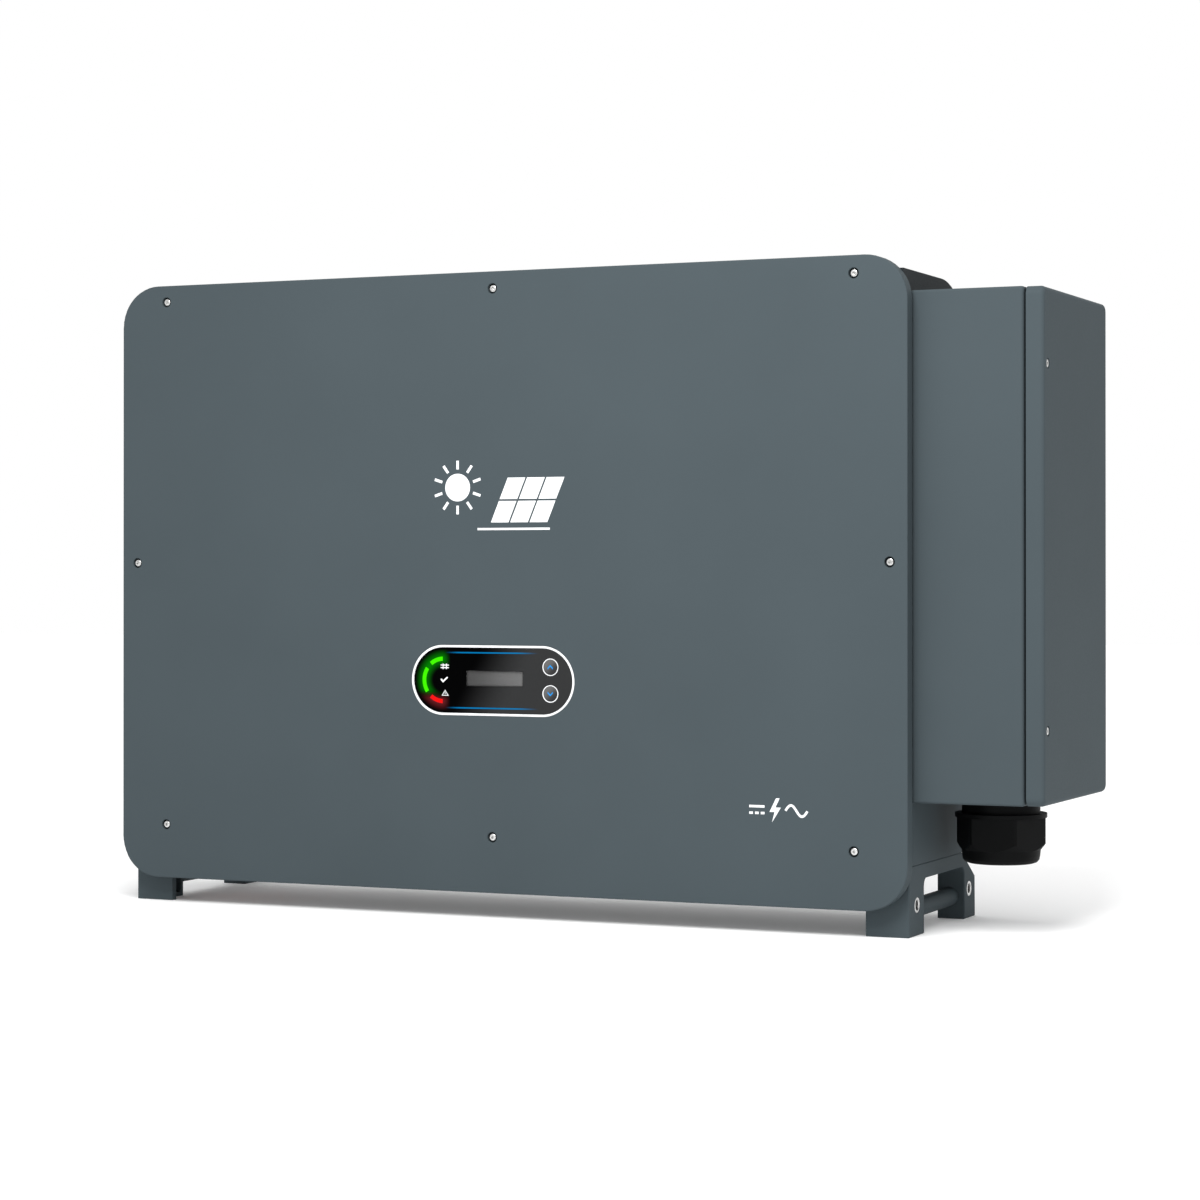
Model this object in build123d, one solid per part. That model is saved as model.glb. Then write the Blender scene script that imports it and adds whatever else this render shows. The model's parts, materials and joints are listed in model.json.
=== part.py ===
from build123d import *

import os
from math import cos, radians, sin

# Wall or floor standing three-phase string inverter. Millimetres, +Z up, +Y towards the wall, +X to the
# right as seen from the front. Everything below is laid out from the middle of the front cover's face at
# floor level, and is moved by EXPORT_SHIFT so that the origin is at the bottom centre of the whole box.

# Front cover
COVER_WIDTH = 935.0
COVER_BOTTOM = 28.0
COVER_TOP = 696.0
COVER_RADIUS = 46.0
COVER_DEPTH = 15.5
COVER_SKIN = 4.0
COVER_EDGE_RADIUS = 1.2
COVER_BOSS_RADIUS = 7.0
COVER_SCREWS = [(x, z) for x in (-410.0, 0.0, 410.0) for z in (88.0, 677.5)]
COVER_SCREWS += [(-448.4, 383.0), (448.4, 383.0)]
RECESS_RADIUS = 5.6
RECESS_DEPTH = 6.0
SCREW_HEAD_RADIUS = 4.25
SCREW_HEAD_DEPTH = 5.0
SCREW_HEAD_DOME = 1.7
SCREW_HEAD_SINK = 1.0
SCREW_RADIUS = 2.5
SCREW_LENGTH = 23.0
SCREW_CLEARANCE = 0.3
TAPPED_DEPTH = 9.0
SOCKET_SHARE = 0.42
SOCKET_DEPTH_SHARE = 0.6
GASKET_BACK = 10.0

# Body
BODY_HALF = 462.0
BODY_FRONT = 16.0
BODY_BOTTOM = 72.6
BODY_TOP = 682.5
CHAMBER_TOP = 640.0
CHAMBER_BACK = 150.0
BODY_BACK = 248.0
HOOD_SIDE_BOTTOM = 575.0
HOOD_HALF = 458.0
HOOD_ARC = 105.0
HOOD_BOSS_RADIUS = 4.5
HOOD_BOSS_DEPTH = 10.0
WALL = 3.0
PANEL_LIP = 18.0
FLANGE_DEPTH = 12.0
WINDOW_HALF = 425.0
WINDOW_BOTTOM = 111.0
WINDOW_TOP = 628.0
LAND = 12.0
BUSBAR_OPENING_Y = (55.0, 130.0)
BUSBAR_OPENING_Z = (300.0, 500.0)
BUSBAR_OPENING_RADIUS = 8.0
WALL_PLANE = 300.0

# Rails and hanging straps, behind the body
RAIL_HEIGHTS = (140.0, 530.0)
RAIL_HEIGHT = 40.0
RAIL_FOOT = 12.0
RAIL_BACK = 266.0
STRAP_PLACES = (-230.0, 230.0)
STRAP_HALF = 30.0
STRAP_Z = (110.0, 600.0)
WALL_BOLT_HEIGHTS = (160.0, 550.0)
WALL_BOLT_RADIUS = 4.5
CLEAT_WIDTH = 18.0
CLEAT_DEPTH = 18.0
CLEAT_HALF_HEIGHT = 14.0
CLEAT_BOLT_X = 11.0
CLEAT_BOLT_RADIUS = 5.0
CLEAT_BOLT_HEAD = 4.5

# AC wiring box, on the right
AC_LEFT = 462.0
AC_RIGHT = 581.6
AC_FRONT = 24.0
AC_BACK = 269.0
AC_BOTTOM = 137.5
AC_TOP = 660.0
DOOR_GAP = 2.3
DOOR_OUTER = 602.5
AC_EDGE_RADIUS = 4.0
BOX_CORNER_RADIUS = 2.6
DOOR_CORNER_RADIUS = 9.0
DOOR_EDGE_RADIUS = 5.0
MOUTH_FRONT = 32.0
MOUTH_MARGIN = 23.0
SEAL_FRONT = 22.0
SEAL_MARGIN = 13.0
SEAL_WIDTH = 8.0
SEAL_GAP = 0.4
SEAL_HEIGHT = 8.0
DOOR_SCREW_Y = 39.6
DOOR_SCREW_HEIGHTS = (213.0, 582.5)
HINGE_AXIS = (582.7, 274.2)
HINGE_HEIGHTS = (230.0, 570.0)
HINGE_HALF = 30.0
HINGE_MIDDLE = 10.0
HINGE_PLAY = 0.5
LEAF_THICKNESS = 3.0
LEAF_NECK = 1.4
KNUCKLE_RADIUS = 4.0
PIN_RADIUS = 2.0
PIN_CLEARANCE = 0.05

# Cable gland under the wiring box
GLAND_X = 522.0
GLAND_Y = 145.0
GLAND_BORE = 27.0
GLAND_NECK_RADIUS = 37.5
GLAND_NECK_BOTTOM = 100.0
GLAND_NECK_RISE = 12.0
GLAND_FLANGE_RADIUS = 48.0
GLAND_FLANGE = (117.0, 121.5)
NUT_HEXAGON_RADIUS = 47.6
NUT_CORNER_RADIUS = 46.8
NUT_TURN = 5.0

# Legs
LEG_FRONT = 22.0
FOOT_DEPTH = 49.0
REAR_FOOT = 209.4
LEG_WIDTH = 30.0
LEG_FLANGE_WIDTH = 46.6
ARCH_TOP = 56.5
ARCH_CORNER_RADIUS = 9.0
LEG_EDGE_RADIUS = 1.5
INSERT_PLACES = ((48.0, 31.5), (226.7, 31.5))
INSERT_RADIUS = 8.5
INSERT_BORE = 5.15
INSERT_LENGTH = 16.0
INSERT_BOSS_RADIUS = 12.0
LEG_WALL = 6.0
POCKET_MARGIN = 5.0
CARRY_BAR_RADIUS = 10.0
CARRY_BAR_Z = 23.6
CARRY_BAR_X = 445.0
CARRY_BAR_FRONT = 66.0
LEG_SCREW_DEPTHS = (100.0, 180.0)
LEG_SCREW_SINK = 7.2
LEG_SCREW_SINK_DEPTH = 8.5
LEG_SCREW_HOLE = 4.0

# Display
DISPLAY_Z = 256.1
DISPLAY_HALF_WIDTH = 97.2
DISPLAY_RADIUS = 37.9
DISPLAY_RIM = 2.5
DISPLAY_CLEARANCE = 0.2
DISPLAY_BACK = 9.0
PANEL_FRONT = 1.0
PANEL_BACK = 4.0
PANEL_GAP = 0.1
LCD_X = (-31.6, 35.9)
LCD_Z = (250.0, 266.5)
LCD_CORNER_RADIUS = 0.8
LCD_WINDOW_BACK = 3.0
BUTTON_X = 68.8
BUTTON_HEIGHTS = (243.0, 271.4)
BUTTON_RADIUS = 8.0
BUTTON_GAP = 0.35
BUTTON_RING = 0.9
BUTTON_FLANGE = 0.9
LIGHT_ARC = 23.0
LIGHT_WIDTH = 4.4
LIGHT_CENTRE_X = DISPLAY_RADIUS - DISPLAY_HALF_WIDTH

# Cooling
FAN_PLACES = (-330.0, -110.0, 110.0, 330.0)
FAN_Y = 199.5
FAN_SIZE = 80.0
FAN_BOTTOM = 76.0
FAN_DEPTH = 25.0
FAN_BORE = 38.0
FAN_HOLE_REACH = 36.0
FAN_HOLE_RADIUS = 2.2
FAN_HUB_RADIUS = 15.0
FAN_STRUT_WIDTH = 4.0
FAN_STRUT_DEPTH = 3.0
BEARING_RADIUS = 5.0
BEARING_TOP = 13.0
ROTOR_RADIUS = 36.5
ROTOR_HUB_RADIUS = 16.0
ROTOR_BOTTOM = 4.5
BLADE_COUNT = 7
BLADE_PITCH = 38.0
TRAY_THICKNESS = 2.0
TRAY_GAP = 0.3
GUARD_RINGS = ((11.0, 17.5), (20.5, 27.0), (30.0, 36.5))
GUARD_SPOKE = 3.5
FIN_PITCH = 14.5
FIN_COUNT = 61
FIN_BOTTOM = 112.0
FIN_TOP = 592.0
FIN_HALF_THICKNESS = 1.0
FIN_BACK_GAP = 7.0
SINK_BASE = 8.0
SINK_MARGIN = 10.0
LOUVRE_PITCH = 27.0
LOUVRE_COUNT = 33
LOUVRE_Z = 628.0
LOUVRE_HALF_WIDTH = 5.5
LOUVRE_HALF_HEIGHT = 31.0
LOUVRE_REACH = 62.0

# Underside
SWITCH_PLACES = (-390.0, -330.0)
SWITCH_Y = 85.0
SWITCH_SHAFT_RADIUS = 4.0
SWITCH_HOLE_RADIUS = 4.3
KNOB_RADIUS = 19.0
KNOB_Z = (58.0, 70.0)
KNOB_GRIP_BOTTOM = 42.0
INLET_FIRST_X = -265.0
INLET_PITCH = 38.0
INLET_COLUMNS = 14
INLET_ROWS = (62.0, 104.0)
INLET_HOLE_RADIUS = 6.2
FITTING_COLLAR_BOTTOM = 66.0
COMM_X = 318.0
COMM_HOLE_RADIUS = 14.2
VENT_PLACES = (372.0, 412.0)

# Terminals and electronics
BUSBAR_HALF_HEIGHT = 10.0
TERMINAL_HEIGHTS = tuple(320.0 + 40.0 * n for n in range(5))
TERMINAL_Y = 80.0
TERMINAL_BASE_WIDTH = 22.0
POWER_BOARD_Y = (120.0, 122.4)
CONTROL_BOARD_Y = (45.0, 46.6)

FRONT_CENTRE_X = (DOOR_OUTER - COVER_WIDTH / 2) / 2
EXPORT_SHIFT = Pos(-FRONT_CENTRE_X, -WALL_PLANE / 2, 0)


# ---------- helpers ----------

def block(x, y, z):
    """A box between the lowest and highest value on each axis."""
    centre = Pos((x[0] + x[1]) / 2, (y[0] + y[1]) / 2, (z[0] + z[1]) / 2)
    return centre * Box(x[1] - x[0], y[1] - y[0], z[1] - z[0])


def along_y(outline, front, back):
    """Extrudes an outline drawn in X and Z from front to back."""
    plane = Plane(origin=(0, back, 0), x_dir=(1, 0, 0), z_dir=(0, -1, 0))
    return extrude(plane * outline, amount=back - front)


def along_x(outline, left, right):
    """Extrudes an outline drawn in Y and Z from left to right."""
    plane = Plane(origin=(left, 0, 0), x_dir=(0, 1, 0), z_dir=(1, 0, 0))
    return extrude(plane * outline, amount=right - left)


def along_z(outline, bottom, top):
    """Extrudes an outline drawn in X and Y from bottom to top."""
    return extrude(Pos(0, 0, bottom) * outline, amount=top - bottom)


def disc(u, v, radius):
    return Pos(u, v) * Circle(radius)


def rectangle(u, v):
    """A rectangle between the lowest and highest value on each of its two axes."""
    return Pos((u[0] + u[1]) / 2, (v[0] + v[1]) / 2) * Rectangle(u[1] - u[0], v[1] - v[0])


def rounded(u, v, radius):
    return Pos((u[0] + u[1]) / 2, (v[0] + v[1]) / 2) * RectangleRounded(u[1] - u[0], v[1] - v[0], radius)


def stadium(half_width, radius):
    """The display's outline: a bar with round ends, centred on the display."""
    return Pos(0, DISPLAY_Z) * SlotOverall(2 * half_width, 2 * radius)


def group(solids):
    return Compound(list(solids))


def write(name, shape):
    export_step(EXPORT_SHIFT * shape, f"parts/{name}.step")


# ---------- front cover ----------

def front_cover():
    half = COVER_WIDTH / 2
    cover = along_y(rounded((-half, half), (COVER_BOTTOM, COVER_TOP), COVER_RADIUS), 0, COVER_DEPTH)
    cover = fillet(cover.edges().group_by(Axis.Y)[0], COVER_EDGE_RADIUS)
    inside = half - COVER_SKIN
    low = COVER_BOTTOM + COVER_SKIN
    high = COVER_TOP - COVER_SKIN
    tray = rounded((-inside, inside), (low, high), COVER_RADIUS - COVER_SKIN)
    cover -= along_y(tray, COVER_SKIN, COVER_DEPTH)
    for x, z in COVER_SCREWS:
        cover += along_y(disc(x, z, COVER_BOSS_RADIUS), COVER_SKIN, BODY_FRONT)
    for x, z in COVER_SCREWS:
        cover -= along_y(disc(x, z, RECESS_RADIUS), 0, RECESS_DEPTH)
        cover -= along_y(disc(x, z, SCREW_RADIUS + SCREW_CLEARANCE), RECESS_DEPTH, BODY_FRONT)
    opening = stadium(DISPLAY_HALF_WIDTH + DISPLAY_CLEARANCE, DISPLAY_RADIUS + DISPLAY_CLEARANCE)
    return cover - along_y(opening, 0, COVER_SKIN)


def land(outer_margin, front, back):
    """The ring around the chamber's window that the gasket lies on."""
    reach = WINDOW_HALF + outer_margin
    ring = rectangle((-reach, reach), (WINDOW_BOTTOM - outer_margin, WINDOW_TOP + outer_margin))
    window = rectangle((-WINDOW_HALF, WINDOW_HALF), (WINDOW_BOTTOM, WINDOW_TOP))
    return along_y(ring - window, front, back)


def cover_gasket():
    return land(LAND, COVER_SKIN, GASKET_BACK)


def socket_screw(head_radius, head_depth, shank_radius, length, dome):
    """A button or cap screw on +Z, with its head's top at zero and its shank below."""
    screw = fillet(along_z(Circle(head_radius), -head_depth, 0).edges().group_by(Axis.Z)[-1], dome)
    screw += along_z(Circle(shank_radius), -length, -head_depth)
    socket = RegularPolygon(head_radius * SOCKET_SHARE, 6)
    return screw - along_z(socket, -head_depth * SOCKET_DEPTH_SHARE, 0)


def cover_screws():
    screw = socket_screw(SCREW_HEAD_RADIUS, SCREW_HEAD_DEPTH, SCREW_RADIUS, SCREW_LENGTH, SCREW_HEAD_DOME)
    return group(Pos(x, SCREW_HEAD_SINK, z) * Rot(90, 0, 0) * screw for x, z in COVER_SCREWS)


# ---------- body ----------

def main_housing():
    outer = BODY_HALF
    inner = outer - WALL
    body = block((-outer, outer), (BODY_FRONT, CHAMBER_BACK), (BODY_BOTTOM, CHAMBER_TOP))
    body -= block(
        (-inner, inner),
        (BODY_FRONT + FLANGE_DEPTH, CHAMBER_BACK - WALL),
        (BODY_BOTTOM + WALL, CHAMBER_TOP - WALL),
    )
    body -= block((-WINDOW_HALF, WINDOW_HALF), (0, BODY_FRONT + FLANGE_DEPTH), (WINDOW_BOTTOM, WINDOW_TOP))
    body += land(LAND, GASKET_BACK, BODY_FRONT)
    for x, z in COVER_SCREWS:
        if z < CHAMBER_TOP:
            body -= along_y(disc(x, z, SCREW_RADIUS), BODY_FRONT, BODY_FRONT + TAPPED_DEPTH)
    holes = [disc(x, SWITCH_Y, SWITCH_HOLE_RADIUS) for x in SWITCH_PLACES]
    holes += [disc(x, y, INLET_HOLE_RADIUS) for x, y in inlet_places()]
    holes += [disc(COMM_X, SWITCH_Y, COMM_HOLE_RADIUS)]
    holes += [disc(x, SWITCH_Y, INLET_HOLE_RADIUS) for x in VENT_PLACES]
    for hole in holes:
        body -= along_z(hole, BODY_BOTTOM, BODY_BOTTOM + WALL)
    return body - wiring_window(BODY_HALF - WALL, BODY_HALF)


def wiring_window(left, right):
    """The opening that the busbars pass through, from the chamber into the wiring box."""
    opening = rounded(BUSBAR_OPENING_Y, BUSBAR_OPENING_Z, BUSBAR_OPENING_RADIUS)
    return along_x(opening, left, right)


def side_panel(side):
    """A folded side sheet of the cooling duct; side is -1 on the left and 1 on the right."""
    sheet = rectangle((BODY_HALF - WALL, BODY_HALF), (CHAMBER_BACK, BODY_BACK))
    lip = rectangle((BODY_HALF - PANEL_LIP, BODY_HALF), (BODY_BACK - WALL, BODY_BACK))
    panel = along_z(sheet + lip, BODY_BOTTOM, HOOD_SIDE_BOTTOM)
    return panel if side > 0 else mirror(panel, Plane.YZ)


def hood_outline(inset, low_front, low_back):
    """The hood's side profile in Y and Z, moved in by inset."""
    arc_start = BODY_BACK - HOOD_ARC
    top = BODY_TOP - inset
    back = BODY_BACK - inset
    arc_end = BODY_TOP - HOOD_ARC
    front = BODY_FRONT + inset
    edges = [
        Line((front, low_front), (front, top)),
        Line((front, top), (arc_start, top)),
        RadiusArc((arc_start, top), (back, arc_end), HOOD_ARC - inset),
        Line((back, arc_end), (back, low_back)),
    ]
    if low_front == low_back:
        edges.append(Line((back, low_back), (front, low_front)))
    else:
        edges.append(Line((back, low_back), (CHAMBER_BACK, low_back)))
        edges.append(Line((CHAMBER_BACK, low_back), (CHAMBER_BACK, low_front)))
        edges.append(Line((CHAMBER_BACK, low_front), (front, low_front)))
    return make_face(edges)


def exhaust_hood():
    hood = along_x(hood_outline(0, CHAMBER_TOP, HOOD_SIDE_BOTTOM), -HOOD_HALF, HOOD_HALF)
    inside = HOOD_HALF - WALL
    below = HOOD_SIDE_BOTTOM - 10
    hood -= along_x(hood_outline(WALL, below, below), -inside, inside)
    for x, z in COVER_SCREWS:
        if z > CHAMBER_TOP:
            hood += along_y(disc(x, z, HOOD_BOSS_RADIUS), BODY_FRONT, BODY_FRONT + HOOD_BOSS_DEPTH)
            hood -= along_y(disc(x, z, SCREW_RADIUS), BODY_FRONT, BODY_FRONT + TAPPED_DEPTH)
    slot = block(
        (-LOUVRE_HALF_WIDTH, LOUVRE_HALF_WIDTH),
        (BODY_BACK - LOUVRE_REACH, BODY_BACK + 1),
        (LOUVRE_Z - LOUVRE_HALF_HEIGHT, LOUVRE_Z + LOUVRE_HALF_HEIGHT),
    )
    half_count = LOUVRE_COUNT // 2
    return hood - [Pos(n * LOUVRE_PITCH, 0, 0) * slot for n in range(-half_count, half_count + 1)]


def heat_sink():
    """Base plate with upright fins behind the chamber's rear wall."""
    half = FIN_PITCH * (FIN_COUNT - 1) / 2
    reach = half + SINK_MARGIN
    base_back = CHAMBER_BACK + SINK_BASE
    comb = rectangle((-reach, reach), (CHAMBER_BACK, base_back))
    for n in range(FIN_COUNT):
        x = n * FIN_PITCH - half
        thickness = (x - FIN_HALF_THICKNESS, x + FIN_HALF_THICKNESS)
        comb += rectangle(thickness, (base_back, BODY_BACK - FIN_BACK_GAP))
    return along_z(comb, FIN_BOTTOM, FIN_TOP)


def fan_tray():
    """Floor of the cooling duct, with a stamped finger guard under each fan."""
    bottom = FAN_BOTTOM - TRAY_THICKNESS
    inside = BODY_HALF - WALL - TRAY_GAP
    deep = (CHAMBER_BACK + TRAY_GAP, BODY_BACK - WALL - TRAY_GAP)
    tray = block((-inside, inside), deep, (bottom, FAN_BOTTOM))
    guard = Sketch()
    for low, high in GUARD_RINGS:
        guard += Circle(high) - Circle(low)
    for angle in (45, 135):
        guard -= Rot(0, 0, angle) * Rectangle(FAN_SIZE, GUARD_SPOKE)
    for x in FAN_PLACES:
        tray -= along_z(Pos(x, FAN_Y) * guard, bottom, FAN_BOTTOM)
    return tray


def fan_frame(x):
    half = FAN_SIZE / 2
    plan = rounded((-half, half), (-half, half), 4) - Circle(FAN_BORE)
    for hole_x in (-FAN_HOLE_REACH, FAN_HOLE_REACH):
        for hole_y in (-FAN_HOLE_REACH, FAN_HOLE_REACH):
            plan -= disc(hole_x, hole_y, FAN_HOLE_RADIUS)
    frame = along_z(plan, 0, FAN_DEPTH)
    struts = Circle(FAN_HUB_RADIUS)
    for angle in (0, 60, 120):
        struts += Rot(0, 0, angle) * Rectangle(2 * FAN_BORE + 2, FAN_STRUT_WIDTH)
    frame += along_z(struts, 0, FAN_STRUT_DEPTH)
    frame += along_z(Circle(BEARING_RADIUS), FAN_STRUT_DEPTH, BEARING_TOP)
    frame -= along_z(Circle(PIN_RADIUS + PIN_CLEARANCE), 2.0, BEARING_TOP)
    return Pos(x, FAN_Y, FAN_BOTTOM) * frame


def fan_rotor(x):
    """Pitched blades on a cup that turns on a short shaft."""
    blade = Pos(26, 0, 13.5) * Rot(BLADE_PITCH, 0, 0) * Box(26, 25, 1.6)
    blades = Part()
    for n in range(BLADE_COUNT):
        blades += Rot(0, 0, n * 360 / BLADE_COUNT) * blade
    blades &= along_z(Circle(ROTOR_RADIUS), 5.0, 22.0)
    rotor = blades + along_z(Circle(ROTOR_HUB_RADIUS), ROTOR_BOTTOM, 22.5)
    rotor -= along_z(Circle(ROTOR_HUB_RADIUS - WALL), ROTOR_BOTTOM, 19.5)
    rotor += along_z(Circle(PIN_RADIUS), 3.0, 20.0)
    return Pos(x, FAN_Y, FAN_BOTTOM) * rotor


def rear_rails():
    """Two channels across the back, between the side panels' lips."""
    reach = BODY_HALF - 4
    rails = []
    for low in RAIL_HEIGHTS:
        high = low + RAIL_HEIGHT
        channel = block((-reach, reach), (BODY_BACK, RAIL_BACK), (low, high))
        channel -= block((-reach, reach), (BODY_BACK, RAIL_BACK - WALL), (low + WALL, high - WALL))
        foot = block((-reach, reach), (BODY_BACK, BODY_BACK + WALL), (low - RAIL_FOOT, low + WALL))
        rails.append(channel + foot)
    return group(rails)


def hanging_straps():
    """Two upright channels whose webs lie on the wall."""
    straps = []
    for x in STRAP_PLACES:
        left = x - STRAP_HALF
        right = x + STRAP_HALF
        depth = (RAIL_BACK, WALL_PLANE)
        plan = rectangle((left, right), (WALL_PLANE - WALL, WALL_PLANE))
        plan += rectangle((left, left + WALL), depth) + rectangle((right - WALL, right), depth)
        strap = along_z(plan, *STRAP_Z)
        for z in WALL_BOLT_HEIGHTS:
            strap -= along_y(disc(x, z, WALL_BOLT_RADIUS), WALL_PLANE - WALL, WALL_PLANE)
        straps.append(strap)
    return group(straps)


def strap_cleats():
    """Angle cleats with hexagon bolts that join the straps' folds to the rails."""
    front = RAIL_BACK
    solids = []
    for z in WALL_BOLT_HEIGHTS:
        height = (z - CLEAT_HALF_HEIGHT, z + CLEAT_HALF_HEIGHT)
        cleat = block((0, CLEAT_WIDTH), (front, front + WALL), height)
        cleat += block((0, WALL), (front, front + CLEAT_DEPTH), height)
        head = Pos(CLEAT_BOLT_X, z) * RegularPolygon(CLEAT_BOLT_RADIUS, 6)
        cleat += along_y(head, front + WALL, front + WALL + CLEAT_BOLT_HEAD)
        for x in STRAP_PLACES:
            solids.append(Pos(x + STRAP_HALF, 0, 0) * cleat)
            solids.append(Pos(x - STRAP_HALF, 0, 0) * mirror(cleat, Plane.YZ))
    return group(solids)


# ---------- legs ----------

def leg_outline():
    """Side profile of a leg in Y and Z: two feet, an arch between them and a sloping rear shoulder."""
    points = [
        (LEG_FRONT, 0),
        (LEG_FRONT, BODY_BOTTOM),
        (201.0, BODY_BOTTOM),
        (218.5, 62.3),
        (247.5, 44.0),
        (BODY_BACK + 0.5, 0),
        (REAR_FOOT, 0),
        (REAR_FOOT, ARCH_TOP),
        (LEG_FRONT + FOOT_DEPTH, ARCH_TOP),
        (LEG_FRONT + FOOT_DEPTH, 0),
    ]
    outline = make_face(Polyline(points, close=True))
    arch_corners = outline.vertices().filter_by_position(Axis.Y, ARCH_TOP - 1, ARCH_TOP + 1)
    return fillet(arch_corners, ARCH_CORNER_RADIUS)


def leg_bracket(side):
    """Cast leg: a web with a rim, open on its inner side, and a wider flange on the front foot."""
    outer = BODY_HALF
    inner = outer - LEG_WIDTH
    leg = along_x(leg_outline(), inner, outer)
    leg += block((outer - LEG_FLANGE_WIDTH, outer), (LEG_FRONT, LEG_FRONT + 8), (0, BODY_BOTTOM))
    leg = fillet(leg.edges().group_by(Axis.X)[-1], LEG_EDGE_RADIUS)
    front_pocket = (LEG_FRONT + 12, LEG_FRONT + FOOT_DEPTH - POCKET_MARGIN)
    rear_pocket = (REAR_FOOT + POCKET_MARGIN, BODY_BACK - POCKET_MARGIN)
    pockets = rectangle(front_pocket, (POCKET_MARGIN, 51)) + rectangle(rear_pocket, (POCKET_MARGIN, 42))
    leg -= along_x(pockets, inner, outer - LEG_WALL)
    for y, z in INSERT_PLACES:
        leg += along_x(disc(y, z, INSERT_BOSS_RADIUS), outer - INSERT_LENGTH, outer)
        leg -= along_x(disc(y, z, INSERT_RADIUS), outer - INSERT_LENGTH, outer)
    bar = Plane(origin=(CARRY_BAR_X, 0, CARRY_BAR_Z), z_dir=(0, 1, 0)) * Circle(CARRY_BAR_RADIUS)
    leg -= Pos(0, CARRY_BAR_FRONT, 0) * extrude(bar, amount=REAR_FOOT + POCKET_MARGIN - CARRY_BAR_FRONT)
    for y in LEG_SCREW_DEPTHS:
        leg -= along_z(disc(CARRY_BAR_X, y, LEG_SCREW_HOLE), ARCH_TOP, BODY_BOTTOM)
        leg -= along_z(disc(CARRY_BAR_X, y, LEG_SCREW_SINK), ARCH_TOP, ARCH_TOP + LEG_SCREW_SINK_DEPTH)
    return leg if side > 0 else mirror(leg, Plane.YZ)


def carry_bars():
    bars = []
    for side in (-1, 1):
        section = Pos(side * CARRY_BAR_X, CARRY_BAR_Z) * Circle(CARRY_BAR_RADIUS)
        bars.append(along_y(section, CARRY_BAR_FRONT, REAR_FOOT + POCKET_MARGIN))
    return group(bars)


def lifting_inserts():
    ring = Circle(INSERT_RADIUS) - Circle(INSERT_BORE)
    solids = []
    for y, z in INSERT_PLACES:
        insert = along_x(Pos(y, z) * ring, BODY_HALF - INSERT_LENGTH, BODY_HALF)
        insert = chamfer(insert.edges().filter_by(GeomType.CIRCLE).group_by(Axis.X)[-1], 0.8)
        solids += [insert, mirror(insert, Plane.YZ)]
    return group(solids)


def leg_screws():
    screw = Rot(180, 0, 0) * socket_screw(6.5, 8.0, 3.9, 15.5, 0.6)
    places = [(side * CARRY_BAR_X, y) for side in (-1, 1) for y in LEG_SCREW_DEPTHS]
    return group(Pos(x, y, ARCH_TOP + 0.5) * screw for x, y in places)


# ---------- display ----------

def display_rim():
    ring = stadium(DISPLAY_HALF_WIDTH, DISPLAY_RADIUS)
    ring -= stadium(DISPLAY_HALF_WIDTH - DISPLAY_RIM, DISPLAY_RADIUS - DISPLAY_RIM)
    rim = along_y(ring, 0, 5.0)
    return fillet(rim.edges().group_by(Axis.Y)[0], 0.5)


def light_outline(start, end, grow=0.0):
    """A bent light guide between two angles in degrees from straight right."""
    ring = Circle(LIGHT_ARC + LIGHT_WIDTH / 2 + grow) - Circle(LIGHT_ARC - LIGHT_WIDTH / 2 - grow)
    reach = 2 * LIGHT_ARC
    angles = [radians(start), radians((start + end) / 2), radians(end)]
    wedge = make_face(Polyline([(0, 0)] + [(reach * cos(a), reach * sin(a)) for a in angles], close=True))
    return Pos(LIGHT_CENTRE_X, DISPLAY_Z) * (ring & wedge)


LIGHT_SPANS = {"top": (92, 130), "middle": (147, 213), "bottom": (230, 268)}


def display_panel():
    gap = PANEL_GAP
    outline = stadium(DISPLAY_HALF_WIDTH - DISPLAY_RIM - gap, DISPLAY_RADIUS - DISPLAY_RIM - gap)
    opening = (LCD_X[0] - gap, LCD_X[1] + gap), (LCD_Z[0] - gap, LCD_Z[1] + gap)
    outline -= rounded(*opening, LCD_CORNER_RADIUS)
    for z in BUTTON_HEIGHTS:
        outline -= disc(BUTTON_X, z, BUTTON_RADIUS + BUTTON_GAP + BUTTON_RING + gap)
    for start, end in LIGHT_SPANS.values():
        outline -= light_outline(start - 0.3, end + 0.3, gap)
    return along_y(outline, PANEL_FRONT, PANEL_BACK)


def lcd_window():
    return along_y(rounded(LCD_X, LCD_Z, LCD_CORNER_RADIUS), PANEL_FRONT + 0.2, LCD_WINDOW_BACK)


def lcd_module():
    back = rectangle((LCD_X[0] - 6, LCD_X[1] + 6), (LCD_Z[0] - 8, LCD_Z[1] + 8))
    glass = rounded(LCD_X, LCD_Z, LCD_CORNER_RADIUS)
    return along_y(glass, LCD_WINDOW_BACK, 4.2) + along_y(back, 4.2, DISPLAY_BACK)


def button(z):
    """A domed cap whose flange behind the panel keeps it from falling out."""
    cap = along_y(disc(0, 0, BUTTON_RADIUS), 0.3, 5.0)
    cap = fillet(cap.edges().group_by(Axis.Y)[0], 0.9)
    stem = along_y(disc(0, 0, 3.0), 5.0, 7.2)
    flange = along_y(disc(0, 0, BUTTON_RADIUS + BUTTON_FLANGE), 4.4, 5.4)
    return Pos(BUTTON_X, 0, z) * (cap + flange + stem)


def button_rings():
    inner = BUTTON_RADIUS + BUTTON_GAP
    ring = Circle(inner + BUTTON_RING) - Circle(inner)
    return group(along_y(Pos(BUTTON_X, z) * ring, PANEL_FRONT - 0.4, PANEL_BACK) for z in BUTTON_HEIGHTS)


def status_light(name):
    return along_y(light_outline(*LIGHT_SPANS[name]), PANEL_FRONT - 0.1, 8.8)


def display_board():
    return along_y(rectangle((-88, 88), (DISPLAY_Z - 30, DISPLAY_Z + 30)), DISPLAY_BACK, DISPLAY_BACK + 1.6)


# ---------- AC wiring box ----------

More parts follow.
